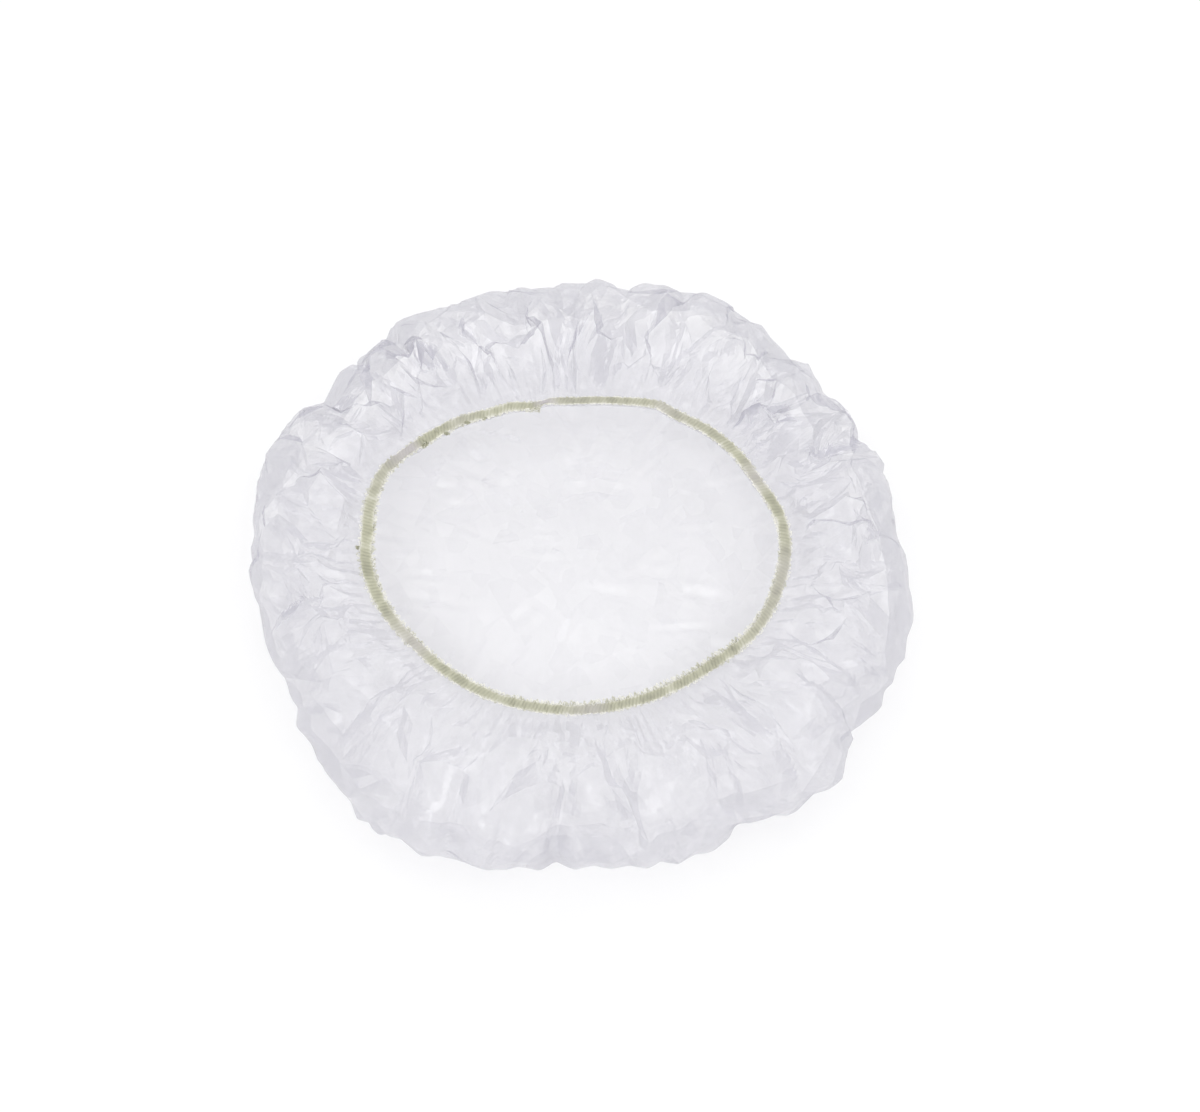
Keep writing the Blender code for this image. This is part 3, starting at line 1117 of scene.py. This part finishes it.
    def facets(self, wall: Wall) -> LaidFilm:
        """The wall's facets from the seat's edge down to the crown.

        Args:
            wall: The smooth form.

        Returns:
            The film there.
        """
        draws = np.random.default_rng(self.seed)
        step = (wall.length - wall.seat) / self.facet_rows
        state = np.zeros((self.facet_rows + 1, self.facet_columns, 7))
        state[..., 4] = wall.seat + step * np.arange(self.facet_rows + 1)[:, None]
        for level in range(len(self.facet_heights)):
            state = self.crushed(wall, halved(state) if level else state, level, draws)
        even = staggered_angles(*state.shape[:2])
        turn, way = even + state[..., 3], state[..., 4]
        smooth = wall.read(wall.points, turn, way)
        held = smooth_step(wall.course(way) / self.held_until)[..., None]
        points = smooth + (state[..., :3] - smooth) * held
        return LaidFilm(points, turn, way, even + state[..., 5], state[..., 6])

    def with_seat(self, wall: Wall, film: LaidFilm) -> LaidFilm:
        """Put the rows from the hem to the seat's edge, under the band, before the facets.

        Args:
            wall: The smooth form.
            film: The facets.

        Returns:
            The whole wall's film.
        """
        back = np.arange(self.seat_rows, 0, -1)[:, None]
        turn = film.turn[:1] - 0.5 * back * 360.0 / film.turn.shape[1]
        way = wall.seat * (1.0 - back / self.seat_rows) + 0.0 * turn
        seat = LaidFilm(wall.read(wall.points, turn, way), turn, way, turn, way)
        return LaidFilm(*(np.concatenate(pair) for pair in zip(seat, film)))

    def wall_rings(self) -> tuple[Array, Array]:
        """The wall from the hem to the crown's edge, with its creases and gathers.

        Returns:
            Points, and places on the flat disc, by ring and column.
        """
        wall, draws = Wall(self.form), Ripples(self.seed + 2)
        film = self.with_seat(wall, self.facets(wall))
        turn, way = film.turn, film.way
        flat = self.disc(turn, self.loop_radius + way)
        ring = (self.loop_radius, self.loop_radius + wall.length)
        creases = draws.creases(flat, self.wall_creases, ring, self.wall_slope)
        lift = creases * wall.crush(turn, way) + self.form.folds(turn, wall.course(way))
        lift = lift + self.gathers(wall, turn, way)
        ahead, behind = (wall.read(wall.points, turn + aside, way) for aside in (0.5, -0.5))
        lean = self.lean * draws.swell(flat, self.lean_pitch)
        rise = wall.read(wall.normals, turn, way) + unit(ahead - behind) * lean[..., None]
        points = self.above_floor(film.points + rise * lift[..., None])
        return points, self.disc(film.cut_turn, self.cut_radius - self.slack * film.cut_way)

    def crown(self, edge: Array, flat_edge: Array) -> tuple[list[Array], list[Array]]:
        """The flat crown's rings inside the wall's last ring, halving their points inwards.

        Each ring is the last one, drawn in evenly.  Its height passes from that ring's to a low
        even one, with crumpling and creases on it.

        Args:
            edge: The wall's last ring.
            flat_edge: Where it lies on the flat disc.

        Returns:
            The rings' points, and their places on the flat disc.
        """
        draws = Ripples(self.seed + 3)
        flat_radius = float(np.linalg.norm(flat_edge, axis=1).mean())
        steps = int(flat_radius / self.crown_ring)
        every = 1
        rings, places = [], []
        for share in 1.0 - np.arange(1, steps) / steps:
            left = len(edge) // (2 * every)
            if share < self.crown_halving / (2 * every) and left >= self.crown_sides:
                every *= 2
            rings.append(edge[::every] * np.array([share, share, 1.0]))
            places.append(flat_edge[::every] * share)
        points, flat = np.concatenate(rings), np.concatenate(places)
        height = self.crown_height
        for size, pitch in self.crown_crumples:
            height = height + size * draws.crumple(flat, pitch)
        ring = (self.crown_middle, flat_radius)
        height = height + draws.creases(flat, self.crown_creases, ring, self.crown_slope)
        depth = smooth_step((1.0 - np.linalg.norm(flat, axis=1) / flat_radius) / self.crown_edge)
        points[:, 2] = points[:, 2] * (1 - depth) + height * depth
        ends = np.cumsum([len(place) for place in places])[:-1]
        return np.split(points, ends), np.split(flat, ends)

    def layers(self, points: Array) -> Array:
        """How many layers the tucks add at each point: diamonds, full but for a narrow edge, on
        the roof alone.

        Args:
            points: The film's points.

        Returns:
            One number for each point.
        """
        added = np.zeros(len(points))
        for x, y, length, width, way, more in zip(*TUCKS.values()):
            ahead, left = headings(math.radians(way))
            off = points[:, :2] - np.array([x, y])
            inside = 1.0 - np.abs(off @ ahead) / length - np.abs(off @ left) / width
            added = np.maximum(added, more * smooth_step(inside / self.tuck_edge))
        return added * (points[:, 2] > self.tuck_height)

    def build(self) -> bpy.types.Object:
        """Make the film's piece: the wall's and crown's rings, joined and closed at the pole.

        Returns:
            The piece.
        """
        wall, flat = self.wall_rings()
        rings, places = self.crown(wall[-1], flat[-1])
        rings, places = [*wall, *rings], [*flat, *places]
        starts = np.cumsum([0, *(len(ring) for ring in rings)])
        numbers = [np.arange(first, last) for first, last in zip(starts[:-1], starts[1:])]
        faces = [joined(upper, lower) for upper, lower in zip(numbers, numbers[1:])]
        pole = np.full(len(numbers[-1]), starts[-1])
        faces.append(np.column_stack([numbers[-1], pole, np.roll(numbers[-1], -1)]))
        points = np.vstack([*rings, rings[-1].mean(axis=0)])
        points[:, 2] = np.maximum(points[:, 2], self.least_height)
        places = np.vstack([*places, np.zeros(2)])
        finish = FilmFinish(flat_width=2 * self.cut_radius).material()
        piece = make_piece("cap_film", points, np.vstack(faces), finish, smooth=False)
        set_uv(piece, places / (2 * self.cut_radius) + 0.5)
        set_share(piece, "layers", self.layers(points))
        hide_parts("film")
        return piece


@dataclass
class ElasticBand:
    """The elastic: a flat strip under close overlock stitches, each a raised rib across it."""

    form: CapForm
    stitches: int = 330
    columns_per_stitch: int = 8
    sides: int = 18
    rib: float = 0.42
    scallop: float = 0.07
    slant: float = 1.1
    counter_slant: float = -1.5
    groove: float = 0.7
    cross: float = 0.22
    edge_bulge: float = 0.75
    top_bulge: float = 1.1
    loop_columns: int = 1440
    blur: int = 6
    leans: Range = (0.7, 1.3)
    heights: Range = (0.8, 1.15)
    widths: Range = (0.90, 1.08)
    strengths: Range = (0.4, 1.1)
    crossing_strength: float = 0.2
    tone: float = 0.49
    # How deep the painted shade in the grooves between the stitches is
    painted_groove_shade: float = 0.30
    blotch_shade: float = 0.10
    blotch_mix: tuple[float, float, float] = (0.4, 0.8, 0.4)
    edge_light: float = 0.50
    edge_power: int = 4
    seed: int = 5

    def __post_init__(self) -> None:
        """Lay the middle line and its widths, evenly spaced along the loop, which is first
        blurred along itself by a bell curve."""
        loop = self.form.loop(even_angles(self.loop_columns))
        spread = np.arange(-3 * self.blur, 3 * self.blur + 1)
        weights = np.exp(-((spread / self.blur) ** 2))
        loop = sum(w * np.roll(loop, s, axis=0) for w, s in zip(weights, spread)) / weights.sum()
        steps = np.linalg.norm(np.roll(loop, -1, axis=0) - loop, axis=1)
        length = np.concatenate([[0.0], np.cumsum(steps)])
        closed = np.vstack([loop, loop[:1]])
        columns = self.stitches * self.columns_per_stitch
        along = np.arange(columns) * length[-1] / columns
        self.line = np.column_stack([np.interp(along, length, axis) for axis in closed.T])
        self.line[:, 2] += self.form.piece_gap + self.form.band_thickness / 2
        self.out = np.column_stack([outward(self.line[:, :2]), np.zeros(columns)])
        self.angles = np.degrees(np.arctan2(self.line[:, 1], self.line[:, 0])) % 360.0
        self.half_width = self.form.band_width / 2 * around(ELASTIC_WIDTH, "share", self.angles)

    def threads(self, lean: Array | float, across: Array) -> Array:
        """Rise of threads across the strip: a power of the size of a sine, nought between them.

        Args:
            lean: How many stitches further on each thread ends than it starts.
            across: Places across the strip, from -1 to 1.

        Returns:
            Rises from 0 to 1, by column and side.
        """
        phase = np.arange(len(self.line))[:, None] / self.columns_per_stitch + 0.5 * lean * across
        return np.abs(np.sin(math.pi * phase)) ** self.groove

    def by_stitch(self, values: Array) -> Array:
        """Give one value for each stitch to all its columns."""
        return np.repeat(values, self.columns_per_stitch)[:, None]

    def build(self, finish: bpy.types.Material) -> bpy.types.Object:
        """Make the band's piece: a rounded flat section carried round the loop, ribbed.

        Args:
            finish: The elastic's material.

        Returns:
            The piece.
        """
        draws, columns = np.random.default_rng(self.seed), len(self.line)
        turn = np.arange(self.sides) * 2 * math.pi / self.sides
        flat, thick = bulged(np.cos(turn), self.edge_bulge), bulged(np.sin(turn), self.top_bulge)
        crossing = around(CROSSING, "share", self.angles)[:, None]
        lean = self.by_stitch(draws.uniform(*self.leans, self.stitches)) * self.slant
        cross = 1 - self.threads(self.counter_slant, flat)
        wave = self.threads(lean, flat) * (1 - self.cross * cross * crossing)
        height, width = (
            self.by_stitch(draws.uniform(*ends, self.stitches))
            for ends in (self.heights, self.widths)
        )
        half_width = self.half_width[:, None] * width * (1 - self.scallop + 2 * self.scallop * wave)
        half_thick = self.form.band_thickness / 2 * height * (1 - self.rib + self.rib * wave)
        points = self.line[:, None] + self.out[:, None] * (flat * half_width)[..., None]
        points[..., 2] += thick * half_thick
        numbers = np.arange(columns * self.sides).reshape(columns, self.sides)
        after, above = np.roll(numbers, -1, axis=0), np.roll(numbers, -1, axis=1)
        both = np.roll(after, -1, axis=1)
        faces = np.stack([numbers, above, both, after], axis=-1).reshape(-1, 4)
        piece = make_piece("overlock_band", points.reshape(-1, 3), faces, finish)
        blotch = np.tile(draws.uniform(-1, 1, self.stitches), 3)
        blotch = np.convolve(blotch, self.blotch_mix, "same")
        blotch = self.by_stitch(blotch[self.stitches:2 * self.stitches])
        # Painted shade: the tone darkens in the grooves between the stitches' ribs, more where the
        # second thread crosses plainly
        strength = self.by_stitch(draws.uniform(*self.strengths, self.stitches))
        strength = strength * (1.0 + self.crossing_strength * (crossing - 1.0))
        tone = self.tone - self.painted_groove_shade * (1 - wave) * strength + self.blotch_shade * blotch
        set_share(piece, "tone", tone + self.edge_light * np.abs(flat) ** self.edge_power)
        set_share(piece, "veil", around(VEIL, "share", self.angles)[:, None] + 0.0 * flat)
        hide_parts("elastic_band")
        return piece


@dataclass
class EdgeThreads:
    """The overlock's loose thread: pale loops along both edges, and a few small tangles."""

    band: ElasticBand
    segments: int = 6
    sides: int = 4
    radius: float = 0.00020
    loop_width: float = 0.0012
    foot: float = 0.93
    slides: tuple[int, int] = (-2, 3)
    tilts: Range = (-0.2, 0.8)
    lifts: Range = (-0.0002, 0.0003)
    reaches: Range = (0.3, 1.3)
    widths: Range = (0.6, 1.3)
    # The cream loops take the thread's own colour; the duller ones are painted shade, for the
    # shadows between the loops
    bright_share: float = 0.6
    bright_tone: float = 1.25
    shaded_loop_tone: float = 0.72
    tangle_lift: float = 0.0004
    tangle_tilts: Range = (0.0, 1.2)
    tangle_spread: float = 0.25
    tangle_shape: tuple[float, float, float] = (1.0, 1.0, 0.3)
    tangle_sizes: Range = (0.5, 1.0)
    tangle_tones: Range = (-0.1, 0.1)
    seed: int = 23

    def loops(self, base: Array, along: Array, away: Array, width: Array, reach: Array) -> Array:
        """Thread loops: each runs evenly along its base and, as half a sine wave, away from it.

        Args:
            base: The middle of each loop's foot.
            along: Unit direction of each foot.
            away: Unit direction in which each loop stands off, square to along.
            width: Length of each foot.
            reach: How far each loop stands off.

        Returns:
            Tube points by loop, station and side.
        """
        share = np.linspace(0.0, 1.0, self.segments + 1)
        run = (share - 0.5) * width[:, None]
        rise = np.sin(math.pi * share) * reach[:, None]
        middle = base[:, None] + run[..., None] * along[:, None] + rise[..., None] * away[:, None]
        tangent = unit(np.gradient(middle, axis=1))
        square = np.cross(along, away)[:, None] + 0.0 * tangent
        third = np.cross(tangent, square)
        turn = np.arange(self.sides) * 2 * math.pi / self.sides
        ahead, aside = np.cos(turn)[:, None], np.sin(turn)[:, None]
        ring = square[:, :, None] * ahead + third[:, :, None] * aside
        return middle[:, :, None] + self.radius * ring

    def edge_loops(self, side: float, name: str, draws: Draws) -> tuple[Array, Array]:
        """A loop at every stitch of one edge.

        Args:
            side: -1 for the inner edge and 1 for the outer one.
            name: The column of the frill's table that says how far they reach.
            draws: The chance draws.

        Returns:
            Tube points, and one tone for each loop.
        """
        band, count = self.band, self.band.stitches
        at = np.arange(count) * band.columns_per_stitch + draws.integers(*self.slides, count)
        at %= len(band.line)
        out = band.out[at]
        tilt = draws.uniform(*self.tilts, count)[:, None]
        away = side * out * np.cos(tilt) + UP * np.sin(tilt)
        base = band.line[at] + side * out * (band.half_width[at] * self.foot)[:, None]
        base = base + UP * draws.uniform(*self.lifts, count)[:, None]
        reach = around(FRILL, name, band.angles[at]) * draws.uniform(*self.reaches, count)
        width = self.loop_width * draws.uniform(*self.widths, count)
        # Painted shade: the loops that are not cream take the duller tone, for the shadows between
        # them
        bright = draws.uniform(0, 1, count) < self.bright_share
        tones = np.where(bright, self.bright_tone, self.shaded_loop_tone)
        return self.loops(base, np.cross(UP, out), away, width, reach), tones

    def tangle(self, row: tuple[float, ...], draws: Draws) -> tuple[Array, Array]:
        """A tangle: loops that turn every way about one place on the elastic.

        Args:
            row: Its row of the tangles' table.
            draws: The chance draws.

        Returns:
            Tube points, and one tone for each loop.
        """
        angle, across, reach, count, tone = row
        band, count = self.band, int(count)
        at = int(np.argmin(np.abs((band.angles - angle + 180.0) % 360.0 - 180.0)))
        middle = band.line[at] + band.out[at] * band.half_width[at] * across
        middle = middle + UP * self.tangle_lift
        spin, tilt = draws.uniform(0, 2 * math.pi, count), draws.uniform(*self.tangle_tilts, count)
        ahead = np.column_stack([np.cos(spin), np.sin(spin), np.zeros(count)])
        away = ahead * np.cos(tilt)[:, None] + UP * np.sin(tilt)[:, None]
        base = draws.normal(0, self.tangle_spread * reach, (count, 3)) * self.tangle_shape
        size = reach * draws.uniform(*self.tangle_sizes, count)
        tones = tone + draws.uniform(*self.tangle_tones, count)
        return self.loops(middle + base, np.cross(UP, ahead), away, size, size), tones

    def build(self, finish: bpy.types.Material) -> bpy.types.Object:
        """Make the threads' piece, with two rows of loops on the inner edge and one on the outer.

        Args:
            finish: The elastic's material.

        Returns:
            The piece.
        """
        draws = np.random.default_rng(self.seed)
        edges = ((-1.0, "inner"), (-1.0, "inner"), (1.0, "outer"))
        parts = [self.edge_loops(side, name, draws) for side, name in edges]
        parts += [self.tangle(row, draws) for row in zip(*TANGLES.values())]
        points, tone = (np.concatenate(part) for part in zip(*parts))
        count, stations, sides = points.shape[:3]
        numbers = np.arange(count * stations * sides).reshape(count, stations, sides)
        after = np.roll(numbers, -1, axis=2)
        walls = np.stack([numbers[:, :-1], numbers[:, 1:], after[:, 1:], after[:, :-1]], axis=-1)
        ends = np.concatenate([numbers[:, 0], numbers[:, -1, ::-1]])
        faces = np.concatenate([walls.reshape(-1, 4), ends])
        piece = make_piece("edge_threads", points.reshape(-1, 3), faces, finish)
        set_share(piece, "tone", np.repeat(tone, stations * sides))
        set_share(piece, "veil", np.zeros(numbers.size))
        return piece


@dataclass(frozen=True)
class Studio:
    """A plain pale floor, soft light all round and one broad light, and the photograph's camera."""

    floor_half: float = 3.0
    floor_drop: float = 0.0001
    floor_colour: Colour = (0.94, 0.94, 0.94)
    floor_roughness: float = 0.9
    sky_strength: float = 0.67
    lamps: int = 5
    lamp_turn: float = 20.0
    lamp_spread: float = 36.0
    lamp_distance: float = 2.2
    lamp_size: float = 0.7
    lamp_power: float = 3.2
    fill_elevation: float = 66.0
    fill_size: float = 1.0
    fill_power: float = 11.5
    aim: tuple[float, float, float] = (0.0, 0.0, 0.020)
    elevation: float = 66.0
    distance: float = 1.2
    photo_width: float = 1200.0
    photo_height: float = 1112.0
    aim_pixel: tuple[float, float] = (582.0, 564.0)
    pixel_size: float = 0.00041
    sensor: float = 36.0
    clip: Range = (0.05, 20.0)

    def add_floor(self) -> None:
        """Add the floor."""
        half, low = self.floor_half, -self.floor_drop
        points = [(-half, -half, low), (half, -half, low), (half, half, low), (-half, half, low)]
        mesh = bpy.data.meshes.new("floor")
        mesh.from_pydata(points, [], [(0, 1, 2, 3)])
        floor = bpy.data.objects.new("floor", mesh)
        bpy.context.scene.collection.objects.link(floor)
        material, shader, _ = new_material("floor")
        shader.inputs["Base Color"].default_value = (*self.floor_colour, 1.0)
        shader.inputs["Roughness"].default_value = self.floor_roughness
        mesh.materials.append(material)

    def add_lights(self) -> None:
        """Add the soft light all round and the broad light."""
        world = bpy.data.worlds.new("studio")
        world.use_nodes = True
        background = world.node_tree.nodes["Background"]
        background.inputs["Color"].default_value = (1.0, 1.0, 1.0, 1.0)
        background.inputs["Strength"].default_value = self.sky_strength
        bpy.context.scene.world = world
        rise = math.radians(self.elevation)
        axis = Vector((0.0, math.cos(rise), math.sin(rise)))
        aside = Vector((1.0, 0.0, 0.0))
        spread = math.radians(self.lamp_spread)
        for number in range(self.lamps):
            turn = math.radians(self.lamp_turn + 360.0 * number / self.lamps)
            off = aside * math.cos(turn) + axis.cross(aside) * math.sin(turn)
            way = axis * math.cos(spread) + off * math.sin(spread)
            self.add_lamp(f"soft_lamp_{number}", way, self.lamp_size, self.lamp_power)
        front = math.radians(self.fill_elevation)
        way = Vector((0.0, -math.cos(front), math.sin(front)))
        self.add_lamp("front_lamp", way, self.fill_size, self.fill_power)

    def add_lamp(self, name: str, way: Vector, size: float, power: float) -> None:
        """Add one square lamp that faces the cap.

        Args:
            name: The lamp's name.
            way: Its direction from the cap.
            size: Its side.
            power: Its power, in watts.
        """
        light = bpy.data.lights.new(name, "AREA")
        light.energy = power
        light.size = size
        lamp = bpy.data.objects.new(name, light)
        lamp.location = way * self.lamp_distance
        lamp.rotation_euler = (-way).to_track_quat("-Z", "Y").to_euler()
        bpy.context.scene.collection.objects.link(lamp)

    def add_camera(self) -> None:
        """Add the camera: it stands off the aim at the elevation, and both are then moved in
        the picture's plane so that the aim falls on its pixel."""
        rise = math.radians(self.elevation)
        back = Vector((0.0, -math.cos(rise), math.sin(rise)))
        up = Vector((0.0, math.sin(rise), math.cos(rise)))
        aside = (self.photo_width / 2 - self.aim_pixel[0]) * self.pixel_size
        above = (self.aim_pixel[1] - self.photo_height / 2) * self.pixel_size
        middle = Vector(self.aim) + Vector((1.0, 0.0, 0.0)) * aside + up * above
        lens = bpy.data.cameras.new("camera")
        lens.sensor_width = self.sensor
        lens.lens = self.sensor * self.distance / (self.photo_width * self.pixel_size)
        lens.clip_start, lens.clip_end = self.clip
        camera = bpy.data.objects.new("camera", lens)
        camera.location = middle + back * self.distance
        camera.rotation_euler = (-back).to_track_quat("-Z", "Y").to_euler()
        bpy.context.scene.collection.objects.link(camera)
        bpy.context.scene.camera = camera
        bpy.context.scene.view_settings.view_transform = "Standard"


def report(piece: bpy.types.Object) -> None:
    """Say a piece's name, its faces and its size in millimetres.

    Args:
        piece: The piece.
    """
    sizes = " x ".join(f"{1000 * side:.1f}" for side in piece.dimensions)
    log.info("%s: %d faces, %s mm", piece.name, len(piece.data.polygons), sizes)


def main() -> None:
    """Build the cap's pieces and the studio round them."""
    form = CapForm()
    report(FilmSheet(form).build())
    band, finish = ElasticBand(form), ElasticFinish().material()
    report(band.build(finish))
    report(EdgeThreads(band).build(finish))
    studio = Studio()
    studio.add_floor()
    studio.add_lights()
    studio.add_camera()


if __name__ == "__main__":
    logging.basicConfig(level=logging.INFO, format="%(name)s: %(message)s")
    main()
